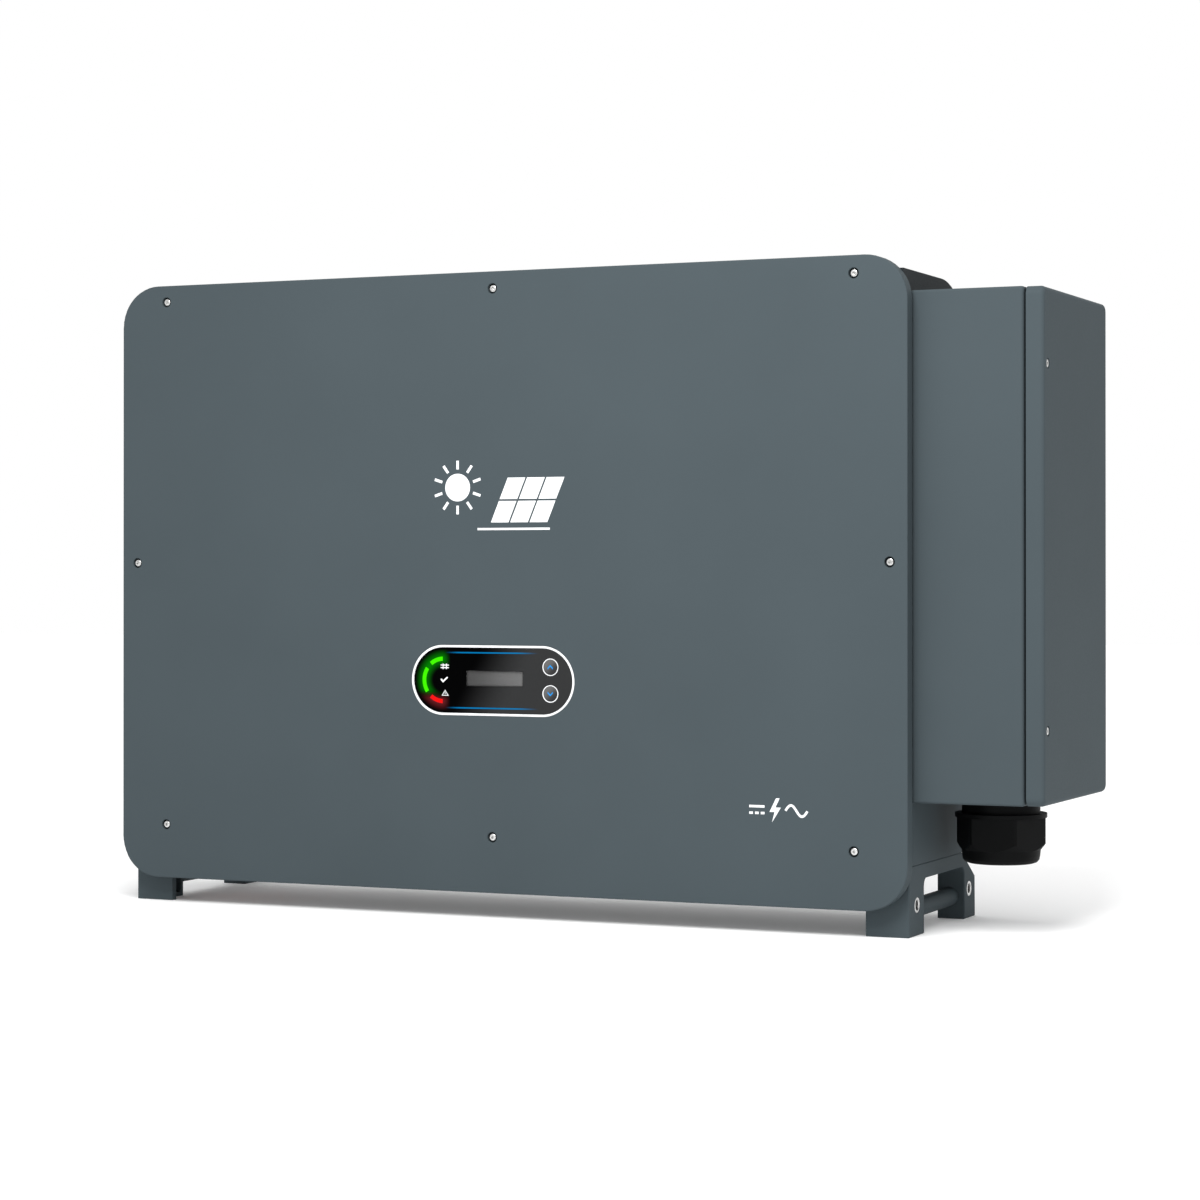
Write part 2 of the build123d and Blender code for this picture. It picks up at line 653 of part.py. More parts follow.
def ac_box_housing():
    """A five-sided box, open to the right, with a lip that the door's seal meets."""
    plan = rounded((AC_LEFT, AC_RIGHT), (AC_FRONT, AC_BACK), AC_EDGE_RADIUS)
    box = along_z(plan, AC_BOTTOM, AC_TOP)
    box = fillet(box.edges().filter_by(Axis.Y).group_by(Axis.X)[-1], BOX_CORNER_RADIUS)
    depth = (AC_FRONT + WALL, AC_BACK - WALL)
    height = (AC_BOTTOM + WALL, AC_TOP - WALL)
    box -= block((AC_LEFT + WALL, AC_RIGHT - WALL), depth, height)
    mouth_y = (AC_FRONT + MOUTH_FRONT, AC_BACK - MOUTH_MARGIN)
    mouth = rectangle(mouth_y, (AC_BOTTOM + MOUTH_MARGIN, AC_TOP - MOUTH_MARGIN))
    box -= along_x(mouth, AC_RIGHT - WALL, AC_RIGHT)
    for z in DOOR_SCREW_HEIGHTS:
        box -= along_x(disc(DOOR_SCREW_Y, z, 3.6), AC_RIGHT - WALL, AC_RIGHT)
    box -= wiring_window(AC_LEFT, AC_LEFT + WALL)
    return box - along_z(disc(GLAND_X, GLAND_Y, 38.0), AC_BOTTOM, AC_BOTTOM + WALL)


def seal_ring(left, right):
    """A ring around the door's opening, inside its two screws."""
    front = AC_FRONT + SEAL_FRONT
    back = AC_BACK - SEAL_MARGIN
    bottom = AC_BOTTOM + SEAL_MARGIN
    top = AC_TOP - SEAL_MARGIN
    ring = rectangle((front, back), (bottom, top))
    ring -= rectangle((front + SEAL_WIDTH, back - SEAL_WIDTH), (bottom + SEAL_WIDTH, top - SEAL_WIDTH))
    return along_x(ring, left, right)


def ac_box_gasket():
    return seal_ring(AC_RIGHT + SEAL_GAP, AC_RIGHT + SEAL_HEIGHT)


def ac_box_door():
    """A pan whose rim turns in towards the box, with a welded rib that carries the seal."""
    left = AC_RIGHT + DOOR_GAP
    depth = (AC_FRONT, AC_BACK)
    height = (AC_BOTTOM, AC_TOP)
    door = along_x(rounded(depth, height, DOOR_CORNER_RADIUS), left, DOOR_OUTER)
    door = fillet(door.edges().group_by(Axis.X)[-1], DOOR_EDGE_RADIUS)
    depth = (AC_FRONT + WALL, AC_BACK - WALL)
    height = (AC_BOTTOM + WALL, AC_TOP - WALL)
    door -= along_x(rounded(depth, height, DOOR_CORNER_RADIUS - WALL), left, DOOR_OUTER - WALL)
    door += seal_ring(AC_RIGHT + SEAL_HEIGHT, DOOR_OUTER - WALL)
    for z in DOOR_SCREW_HEIGHTS:
        door += along_x(disc(DOOR_SCREW_Y, z, 6.2), left + 1, DOOR_OUTER - WALL)
        door -= along_x(disc(DOOR_SCREW_Y, z, 3.1), left, DOOR_OUTER)
        door -= along_x(disc(DOOR_SCREW_Y, z, 5.5), DOOR_OUTER - 3.4, DOOR_OUTER)
    return door


def door_screws():
    screw = Rot(0, 90, 0) * socket_screw(4.3, 3.0, 3.0, 30.0, 1.2)
    return group(Pos(DOOR_OUTER - 0.4, DOOR_SCREW_Y, z) * screw for z in DOOR_SCREW_HEIGHTS)


def knuckle(bottom, top):
    x, y = HINGE_AXIS
    return along_z(disc(x, y, KNUCKLE_RADIUS), bottom, top)


def knuckle_bore(bottom, top):
    x, y = HINGE_AXIS
    return along_z(disc(x, y, PIN_RADIUS + PIN_CLEARANCE), bottom, top)


def box_hinge_leaves():
    """Outer knuckles on a leaf that is welded to the back of the box."""
    x = HINGE_AXIS[0]
    leaves = []
    for z in HINGE_HEIGHTS:
        bottom = z - HINGE_HALF
        top = z + HINGE_HALF
        gap = HINGE_MIDDLE + HINGE_PLAY
        leaf = block((x - 34, x - 4.5), (AC_BACK, AC_BACK + LEAF_THICKNESS), (bottom, top))
        for low, high in ((bottom, z - gap), (z + gap, top)):
            leaf += block((x - 6, x), (AC_BACK + LEAF_NECK, AC_BACK + LEAF_THICKNESS), (low, high))
            leaf += knuckle(low, high)
        leaves.append(leaf - knuckle_bore(bottom, top))
    return group(leaves)


def door_hinge_leaves():
    """The middle knuckles, on a leaf that is fixed to the door's rear rim."""
    x = HINGE_AXIS[0]
    leaves = []
    for z in HINGE_HEIGHTS:
        low = z - HINGE_MIDDLE
        high = z + HINGE_MIDDLE
        leaf = block((x + 1.5, DOOR_OUTER - 4), (AC_BACK, AC_BACK + LEAF_THICKNESS), (low, high))
        leaf += block((x, x + 6), (AC_BACK + LEAF_NECK, AC_BACK + LEAF_THICKNESS), (low, high))
        leaf += knuckle(low, high)
        leaves.append(leaf - knuckle_bore(low, high))
    return group(leaves)


def hinge_pins():
    x, y = HINGE_AXIS
    pins = []
    for z in HINGE_HEIGHTS:
        top = z + HINGE_HALF
        head = along_z(disc(x, y, 3.2), top, top + 2)
        pins.append(along_z(disc(x, y, PIN_RADIUS), z - HINGE_HALF, top) + head)
    return group(pins)


# ---------- cable gland ----------

def gland_body():
    """Threaded neck through the box's floor, with a flange below it."""
    top = AC_BOTTOM + GLAND_NECK_RISE
    body = along_z(Circle(GLAND_NECK_RADIUS), GLAND_NECK_BOTTOM, top)
    body += along_z(Circle(40.8), 119.5, AC_BOTTOM)
    body += along_z(Circle(GLAND_FLANGE_RADIUS), *GLAND_FLANGE)
    body -= along_z(Circle(GLAND_BORE + 4), GLAND_NECK_BOTTOM, top)
    return Pos(GLAND_X, GLAND_Y) * body


def gland_nut():
    """Hexagonal cap nut with a rounded nose."""
    section = [
        (GLAND_BORE, 69.0),
        (34.0, 69.0),
        (37.5, 70.2),
        (39.8, 73.0),
        (40.6, 77.0),
        (41.2, 83.0),
        (NUT_CORNER_RADIUS, 90.0),
        (NUT_CORNER_RADIUS, 116.8),
        (38.0, 116.8),
        (38.0, 96.0),
        (GLAND_BORE, 86.0),
    ]
    nut = revolve(Plane.XZ * make_face(Polyline(section, close=True)), Axis.Z)
    hexagon = Rot(0, 0, NUT_TURN) * RegularPolygon(NUT_HEXAGON_RADIUS, 6)
    return Pos(GLAND_X, GLAND_Y) * (nut & along_z(hexagon, 60.0, 120.0))


def gland_seal():
    ring = Circle(GLAND_BORE + 3.9) - Circle(GLAND_BORE - 4)
    return Pos(GLAND_X, GLAND_Y) * along_z(ring, GLAND_NECK_BOTTOM, 128.0)


def gland_locknut():
    nut = RegularPolygon(47.0, 6) - Circle(GLAND_NECK_RADIUS + 0.1)
    return Pos(GLAND_X, GLAND_Y) * along_z(nut, AC_BOTTOM + WALL, AC_BOTTOM + WALL + 7)


# ---------- AC terminals ----------

def ac_terminal_block():
    """Insulating block with a wall between each two of its five terminals."""
    left = AC_LEFT + WALL
    face = left + TERMINAL_BASE_WIDTH
    depth = (60, 130)
    bottom, top = BUSBAR_OPENING_Z
    rib = 4.0
    base = block((left, face), depth, (bottom, top))
    for n in range(6):
        z = bottom + (top - bottom - rib) / 5 * n
        base += block((face, face + 18), depth, (z, z + rib))
    return base - along_x(rectangle((90, 122), (bottom + 6, top - 6)), left, left + 12)


def ac_terminal_studs():
    left = AC_LEFT + WALL + TERMINAL_BASE_WIDTH
    studs = []
    for z in TERMINAL_HEIGHTS:
        nut = along_x(Pos(TERMINAL_Y, z) * RegularPolygon(8.5, 6), left + 3, left + 9)
        studs.append(nut + along_x(disc(TERMINAL_Y, z, 4.0), left, left + 26))
    return group(studs)


def ac_busbars():
    """Copper bars from the filter in the chamber to the terminal studs."""
    left = AC_LEFT + WALL
    bars = []
    for z in TERMINAL_HEIGHTS[:4]:
        height = (z - BUSBAR_HALF_HEIGHT, z + BUSBAR_HALF_HEIGHT)
        bars.append(block((BODY_HALF - 40, left + 8), (100, 104), height))
    return group(bars)


# ---------- underside ----------

def inlet_places():
    return [(INLET_FIRST_X + n * INLET_PITCH, y) for y in INLET_ROWS for n in range(INLET_COLUMNS)]


def dc_inlets():
    """Bulkhead plugs for the solar strings: the front row positive, the rear row negative."""
    solids = []
    for x, y in inlet_places():
        plug = along_z(Circle(6.0), 52.0, BODY_BOTTOM + 14)
        plug += along_z(RegularPolygon(9.5, 6), FITTING_COLLAR_BOTTOM, BODY_BOTTOM)
        plug += along_z(Circle(8.2), 46.0, 64.0)
        plug -= along_z(Circle(4.2), 46.0, 60.0)
        solids.append(Pos(x, y) * plug)
    return group(solids)


def dc_inlet_caps():
    solids = []
    for x, y in inlet_places():
        cap = along_z(Circle(8.2), 40.0, 45.9) + along_z(Circle(3.9), 45.9, 52.0)
        solids.append(Pos(x, y) * cap)
    return group(solids)


def switch_knob(x):
    """Round isolator handle with a grip bar, on a shaft through the chamber's floor."""
    bottom, top = KNOB_Z
    knob = along_z(Circle(KNOB_RADIUS), bottom, top)
    knob += along_z(rounded((-17, 17), (-5, 5), 3), KNOB_GRIP_BOTTOM, bottom)
    knob += along_z(Circle(SWITCH_SHAFT_RADIUS), top, BODY_BOTTOM + 12)
    return Pos(x, SWITCH_Y) * knob


def dc_switch_bodies():
    solids = []
    for x in SWITCH_PLACES:
        body = block((x - 24, x + 24), (SWITCH_Y - 30, SWITCH_Y + 30), (BODY_BOTTOM + WALL, 150))
        bore = disc(x, SWITCH_Y, SWITCH_SHAFT_RADIUS + PIN_CLEARANCE)
        solids.append(body - along_z(bore, BODY_BOTTOM, BODY_BOTTOM + 14))
    return group(solids)


def comm_port():
    port = along_z(Circle(14.0), 56.0, BODY_BOTTOM + 10)
    port += along_z(Circle(18.0), FITTING_COLLAR_BOTTOM, BODY_BOTTOM)
    port += along_z(RegularPolygon(17.0, 8), 44.0, 58.0)
    return Pos(COMM_X, SWITCH_Y) * port


def vent_valves():
    valve = along_z(Circle(6.0), BODY_BOTTOM, BODY_BOTTOM + 8)
    valve += along_z(RegularPolygon(10.0, 6), FITTING_COLLAR_BOTTOM, BODY_BOTTOM)
    return group(Pos(x, SWITCH_Y) * valve for x in VENT_PLACES)


# ---------- electronics in the sealed chamber ----------

def grid(columns, rows, x_range, z_range):
    """Evenly spaced places over a rectangle."""
    step_x = (x_range[1] - x_range[0]) / (columns - 1)
    step_z = (z_range[1] - z_range[0]) / (rows - 1)
    return [(x_range[0] + i * step_x, z_range[0] + j * step_z) for i in range(columns) for j in range(rows)]


def power_modules():
    places = grid(6, 2, (-330.0, 330.0), (250.0, 470.0))
    depth = (135, CHAMBER_BACK - WALL)
    return group(block((x - 28, x + 28), depth, (z - 50, z + 50)) for x, z in places)


def power_board():
    board = block((-400, 400), POWER_BOARD_Y, (190, 560))
    for x, z in grid(2, 2, (-390, 390), (200, 550)):
        board += along_y(disc(x, z, 5), POWER_BOARD_Y[1], CHAMBER_BACK - WALL)
    return board


def dc_link_capacitors():
    places = grid(10, 3, (-310.0, 310.0), (260.0, 480.0))
    return group(along_y(disc(x, z, 17), 70, POWER_BOARD_Y[0]) for x, z in places)


def filter_inductors():
    return group(block((x - 42, x + 42), (60, 140), (92, 176)) for x in (190.0, 290.0, 390.0))


def control_board():
    board = block((-180, 180), CONTROL_BOARD_Y, (390, 600))
    for x, z in grid(2, 2, (-170, 170), (400, 590)):
        board += along_y(disc(x, z, 4), CONTROL_BOARD_Y[1], POWER_BOARD_Y[0])
    return board


def surge_arresters():
    return group(block((x - 9, x + 9), (80, 130), (585, 625)) for x in (210.0, 232.0, 254.0, 276.0))


def current_sensors():
    solids = []
    for z in TERMINAL_HEIGHTS[:3]:
        ring = rectangle((84, 120), (z - 18, z + 18)) - rectangle((98, 106), (z - 12, z + 12))
        solids.append(along_x(ring, BODY_HALF - 34, BODY_HALF - 16))
    return group(solids)


def main():
    os.makedirs("parts", exist_ok=True)
    write("front_cover", front_cover())
    write("cover_gasket", cover_gasket())
    write("cover_screws", cover_screws())
    write("main_housing", main_housing())
    write("side_panel_left", side_panel(-1))
    write("side_panel_right", side_panel(1))
    write("exhaust_hood", exhaust_hood())
    write("heat_sink", heat_sink())
    write("fan_tray", fan_tray())
    write("fan_frames", group(fan_frame(x) for x in FAN_PLACES))
    for n, x in enumerate(FAN_PLACES, 1):
        write(f"fan_rotor_{n}", fan_rotor(x))
    write("rear_rails", rear_rails())
    write("hanging_straps", hanging_straps())
    write("strap_cleats", strap_cleats())
    write("leg_bracket_left", leg_bracket(-1))
    write("leg_bracket_right", leg_bracket(1))
    write("carry_bars", carry_bars())
    write("lifting_inserts", lifting_inserts())
    write("leg_screws", leg_screws())
    write("display_rim", display_rim())
    write("display_panel", display_panel())
    write("lcd_window", lcd_window())
    write("lcd_module", lcd_module())
    write("button_down", button(BUTTON_HEIGHTS[0]))
    write("button_up", button(BUTTON_HEIGHTS[1]))
    write("button_rings", button_rings())
    write("status_lights_green", group([status_light("top"), status_light("middle")]))
    write("status_light_red", status_light("bottom"))
    write("display_board", display_board())
    write("ac_box_housing", ac_box_housing())
    write("ac_box_gasket", ac_box_gasket())
    write("ac_box_door", ac_box_door())
    write("door_screws", door_screws())
    write("box_hinge_leaves", box_hinge_leaves())
    write("door_hinge_leaves", door_hinge_leaves())
    write("hinge_pins", hinge_pins())
    write("gland_body", gland_body())
    write("gland_nut", gland_nut())
    write("gland_seal", gland_seal())
    write("gland_locknut", gland_locknut())
    write("ac_terminal_block", ac_terminal_block())
    write("ac_terminal_studs", ac_terminal_studs())
    write("ac_busbars", ac_busbars())
    write("dc_inlets", dc_inlets())
    write("dc_inlet_caps", dc_inlet_caps())
    for n, x in enumerate(SWITCH_PLACES, 1):
        write(f"dc_switch_knob_{n}", switch_knob(x))
    write("dc_switch_bodies", dc_switch_bodies())
    write("comm_port", comm_port())
    write("vent_valves", vent_valves())
    write("power_modules", power_modules())
    write("power_board", power_board())
    write("dc_link_capacitors", dc_link_capacitors())
    write("filter_inductors", filter_inductors())
    write("control_board", control_board())
    write("surge_arresters", surge_arresters())
    write("current_sensors", current_sensors())


main()
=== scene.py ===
import json
import math

import bmesh
import bpy
from mathutils import Euler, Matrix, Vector

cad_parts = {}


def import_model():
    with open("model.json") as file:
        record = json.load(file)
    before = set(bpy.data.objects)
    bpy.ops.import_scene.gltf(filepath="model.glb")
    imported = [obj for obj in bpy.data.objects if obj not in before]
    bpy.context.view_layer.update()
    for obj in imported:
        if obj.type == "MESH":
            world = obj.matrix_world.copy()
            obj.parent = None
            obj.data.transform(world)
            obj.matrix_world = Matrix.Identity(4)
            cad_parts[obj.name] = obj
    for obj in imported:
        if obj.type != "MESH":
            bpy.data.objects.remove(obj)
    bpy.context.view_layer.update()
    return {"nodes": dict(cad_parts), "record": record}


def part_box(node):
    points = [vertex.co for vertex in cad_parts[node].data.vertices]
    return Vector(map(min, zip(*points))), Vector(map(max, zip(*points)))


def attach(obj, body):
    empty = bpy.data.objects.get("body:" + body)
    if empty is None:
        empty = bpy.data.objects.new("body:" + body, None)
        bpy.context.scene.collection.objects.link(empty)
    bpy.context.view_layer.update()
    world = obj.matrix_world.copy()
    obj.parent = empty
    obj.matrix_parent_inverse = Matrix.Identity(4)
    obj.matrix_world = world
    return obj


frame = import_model()

MM = 0.001
BODY = "body"

# ---------- places, read from the frame ----------


def node_box(name):
    low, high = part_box(name)
    return Vector(low), Vector(high)


cover_low, cover_high = node_box("front_cover")
COVER_X = (cover_low.x + cover_high.x) / 2
COVER_Y = cover_low.y
rim_low, rim_high = node_box("display_rim")
DISPLAY_Z = (rim_low.z + rim_high.z) / 2
DISPLAY_RADIUS = (rim_high.z - rim_low.z) / 2
PANEL_Y = node_box("display_panel")[0].y
LIGHT_X = rim_low.x + DISPLAY_RADIUS

# ---------- sizes and colours of the finishes ----------

GREY = (0.051, 0.065, 0.072)
DARK = (0.012, 0.016, 0.018)
ZINC_DARK = (0.42, 0.44, 0.46)
ZINC_LIGHT = (0.62, 0.64, 0.66)
BOARD_GREEN = (0.01, 0.12, 0.05)
TRACK_GREEN = (0.02, 0.2, 0.09)

PANEL_BLACK = (0.0004, 0.0004, 0.0005)
# Painted sheen: the black glass lightens towards this grey.
PANEL_SHEEN_GREY = (0.024, 0.0245, 0.025)
SHEEN_SLANT = 0.55
SHEEN_START = COVER_X - 34.0 * MM
SHEEN_END = COVER_X + 36.0 * MM
PRINT_BLUE = (0.0, 0.11, 0.27)
LINE_OFFSET = 29.8 * MM
LINE_WIDTH = 1.4 * MM
LINE_FADE_IN = (COVER_X - 58.0 * MM, COVER_X - 36.0 * MM)
LINE_FADE_OUT = (COVER_X + 26.0 * MM, COVER_X + 56.0 * MM)

LIGHT_ARC = 23.0 * MM
GLOW_REACH = 11.0 * MM
GLOW_CHANGE = -15.5 * MM
GLOW_BLEND = 3.0 * MM
GLOW_GAP = 6.0 * MM
GLOW_GREEN = (0.0, 0.42, 0.0)
GLOW_RED = (0.4, 0.04, 0.05)

# Painted light and shade of the screen: lighter to the right, darker at the edges.
SCREEN_EDGE_SHADE_WIDTH = 2.2 * MM
SCREEN_SHADED_LEFT = (0.048, 0.048, 0.048)
SCREEN_LIT_RIGHT = (0.13, 0.13, 0.13)
SCREEN_EDGE_SHADE = (0.02, 0.02, 0.02)

# Painted highlight and shade across the domed keys.
DOME_SHADING_REACH = 9.0 * MM
DOME_PAINTED_HIGHLIGHT = (0.09, 0.09, 0.09)
DOME_PAINTED_SHADE = (0.02, 0.02, 0.021)
CHEVRON_BLUE = (0.0, 0.2, 0.55)
CHEVRON_HALF = 3.0 * MM
CHEVRON_RISE = 1.6 * MM
CHEVRON_STROKE = 1.8 * MM


# ---------- shader building ----------

def new_material(name):
    material = bpy.data.materials.new(name)
    material.use_nodes = True
    tree = material.node_tree
    shader = next(n for n in tree.nodes if n.type == "BSDF_PRINCIPLED")
    return material, tree, shader


def add(tree, kind, **values):
    """Adds a node; values that name an input set it, and the others set a property."""
    node = tree.nodes.new(kind)
    for key, value in values.items():
        label = key.replace("_", " ")
        sockets = [s for s in node.inputs if s.name.lower() == label.lower()]
        if sockets and not hasattr(node, key):
            sockets[0].default_value = value
        else:
            setattr(node, key, value)
    return node


def link(tree, source, target):
    tree.links.new(source, target)


def noise(tree, scale, detail=2.0, rough=0.5):
    """A noise in object space, where one unit is a metre."""
    place = add(tree, "ShaderNodeTexCoord")
    texture = add(tree, "ShaderNodeTexNoise", scale=scale, detail=detail, roughness=rough)
    link(tree, place.outputs["Object"], texture.inputs["Vector"])
    return texture.outputs["Fac"]


def spread(tree, value, low, high):
    """Maps the middle of a noise to a range."""
    ramp = add(tree, "ShaderNodeMapRange")
    ramp.inputs["From Min"].default_value = 0.3
    ramp.inputs["From Max"].default_value = 0.7
    ramp.inputs["To Min"].default_value = low
    ramp.inputs["To Max"].default_value = high
    link(tree, value, ramp.inputs["Value"])
    return ramp.outputs["Result"]


def two_colours(tree, value, first, second):
    """Blends from the first colour to the second; each is a colour or another node's output."""
    mix = add(tree, "ShaderNodeMix", data_type="RGBA")
    sockets = [s for s in mix.inputs if s.type == "RGBA"]
    for socket, colour in zip(sockets, (first, second)):
        if isinstance(colour, tuple):
            socket.default_value = (*colour, 1)
        else:
            link(tree, colour, socket)
    link(tree, value, mix.inputs["Factor"])
    return next(s for s in mix.outputs if s.type == "RGBA")


def bump(tree, shader, layers, edge=0.0):
    """Adds fine relief: (height output, distance in metres) for each layer, over softly rounded edges."""
    normal = None
    if edge:
        bevel = add(tree, "ShaderNodeBevel", samples=4, radius=edge)
        normal = bevel.outputs["Normal"]
    for height, distance in layers:
        relief = add(tree, "ShaderNodeBump", distance=distance, strength=1.0)
        link(tree, height, relief.inputs["Height"])
        if normal:
            link(tree, normal, relief.inputs["Normal"])
        normal = relief.outputs["Normal"]
    link(tree, normal, shader.inputs["Normal"])


def shade(colour, factor):
    return tuple(min(1.0, c * factor) for c in colour)


def painted(name, colour, roughness=0.5, specular=0.02, grain=0.05 * MM, edge=1.2 * MM, vary=0.03):
    """Powder coat: a fine orange-peel relief, slight mottling and softly rounded edges."""
    material, tree, shader = new_material(name)
    cloud = spread(tree, noise(tree, scale=6.0, detail=3.0), 0.0, 1.0)
    tone = two_colours(tree, cloud, shade(colour, 1 - vary), shade(colour, 1 + vary))
    link(tree, tone, shader.inputs["Base Color"])
    fine = noise(tree, scale=900.0, detail=2.0)
    link(tree, spread(tree, fine, roughness - 0.05, roughness + 0.05), shader.inputs["Roughness"])
    shader.inputs["Specular IOR Level"].default_value = specular
    peel = noise(tree, scale=650.0, detail=3.0)
    swell = noise(tree, scale=9.0, detail=2.0)
    bump(tree, shader, [(peel, grain), (swell, grain * 2)], edge)
    return material


def metal(name, colour, roughness, streak=(400.0, 400.0, 14.0), grain=0.03 * MM, edge=0.4 * MM):
    """Worked metal with fine streaks along one axis."""
    material, tree, shader = new_material(name)
    place = add(tree, "ShaderNodeTexCoord")
    stretch = add(tree, "ShaderNodeMapping")
    stretch.inputs["Scale"].default_value = streak
    link(tree, place.outputs["Object"], stretch.inputs["Vector"])
    texture = add(tree, "ShaderNodeTexNoise", scale=1.0, detail=3.0)
    link(tree, stretch.outputs["Vector"], texture.inputs["Vector"])
    lines = texture.outputs["Fac"]
    tone = two_colours(tree, spread(tree, lines, 0.0, 1.0), shade(colour, 0.82), shade(colour, 1.08))
    link(tree, tone, shader.inputs["Base Color"])
    link(tree, spread(tree, lines, roughness - 0.07, roughness + 0.08), shader.inputs["Roughness"])
    shader.inputs["Metallic"].default_value = 1.0
    bump(tree, shader, [(lines, grain)], edge)
    return material


def galvanised(name):
    """Zinc spangle: cells of slightly different grey."""
    material, tree, shader = new_material(name)
    place = add(tree, "ShaderNodeTexCoord")
    cells = add(tree, "ShaderNodeTexVoronoi", scale=110.0)
    link(tree, place.outputs["Object"], cells.inputs["Vector"])
    split = add(tree, "ShaderNodeSeparateColor")
    link(tree, cells.outputs["Color"], split.inputs["Color"])
    tone = two_colours(tree, split.outputs[0], ZINC_DARK, ZINC_LIGHT)
    link(tree, tone, shader.inputs["Base Color"])
    link(tree, spread(tree, split.outputs[1], 0.38, 0.5), shader.inputs["Roughness"])
    shader.inputs["Metallic"].default_value = 0.9
    bump(tree, shader, [(noise(tree, scale=300.0, detail=2.0), 0.04 * MM)], edge=0.6 * MM)
    return material


def moulded(name, colour, roughness=0.5, specular=0.4, grain=0.04 * MM, scale=1500.0, edge=0.5 * MM):
    """Moulded plastic or rubber with a spark-eroded surface."""
    material, tree, shader = new_material(name)
    cloud = noise(tree, scale=40.0, detail=2.0)
    tone = two_colours(tree, spread(tree, cloud, 0.0, 1.0), shade(colour, 0.88), shade(colour, 1.12))
    link(tree, tone, shader.inputs["Base Color"])
    fine = noise(tree, scale, detail=2.0)
    link(tree, spread(tree, fine, roughness - 0.06, roughness + 0.06), shader.inputs["Roughness"])
    shader.inputs["Specular IOR Level"].default_value = specular
    bump(tree, shader, [(fine, grain)], edge)
    return material


def board(name):
    """Green circuit board with copper tracks under the solder resist."""
    material, tree, shader = new_material(name)
    place = add(tree, "ShaderNodeTexCoord")
    tracks = add(tree, "ShaderNodeTexBrick", scale=60.0)
    link(tree, place.outputs["Object"], tracks.inputs["Vector"])
    tone = two_colours(tree, tracks.outputs["Fac"], BOARD_GREEN, TRACK_GREEN)
    link(tree, tone, shader.inputs["Base Color"])
    shader.inputs["Roughness"].default_value = 0.35
    bump(tree, shader, [(tracks.outputs["Fac"], 0.03 * MM)])
    return material


def lamp(name, colour, strength):
    """A lit light guide, of almost even colour."""
    material, tree, shader = new_material(name)
    cloud = noise(tree, scale=220.0, detail=1.0)
    tone = two_colours(tree, spread(tree, cloud, 0.0, 1.0), shade(colour, 0.92), colour)
    link(tree, tone, shader.inputs["Emission Color"])
    shader.inputs["Base Color"].default_value = (*shade(colour, 0.02), 1)
    shader.inputs["Emission Strength"].default_value = strength
    shader.inputs["Roughness"].default_value = 0.4
    shader.inputs["Specular IOR Level"].default_value = 0.02
    return material


# ---------- display panel: black glass with a painted sheen that lightens it to dark grey, with the lamps' painted glow ---

def math_node(tree, operation, first, second=None, clamp=False):
    node = add(tree, "ShaderNodeMath", operation=operation, use_clamp=clamp)
    for socket, value in zip(node.inputs, (first, second)):
        if value is None:
            continue
        if isinstance(value, (int, float)):
            socket.default_value = value
        else:
            link(tree, value, socket)
    return node.outputs[0]


def ramp_between(tree, value, start, end, low=0.0, high=1.0):
    """A smooth step of value from start to end."""
    node = add(tree, "ShaderNodeMapRange", interpolation_type="SMOOTHSTEP")
    link(tree, value, node.inputs["Value"])
    for name, number in (("From Min", start), ("From Max", end), ("To Min", low), ("To Max", high)):
        node.inputs[name].default_value = number
    return node.outputs["Result"]


def object_axes(tree):
    """The X and Z of a point, in metres."""
    place = add(tree, "ShaderNodeTexCoord")
    axes = add(tree, "ShaderNodeSeparateXYZ")
    link(tree, place.outputs["Object"], axes.inputs["Vector"])
    return axes.outputs["X"], axes.outputs["Z"]


def line_mask(tree, offset, half_width, soft=0.2 * MM):
    """One along a line, and nought away from it, for the distance from the line's middle."""
    away = math_node(tree, "ABSOLUTE", offset)
    return ramp_between(tree, away, half_width - soft, half_width + soft, 1.0, 0.0)


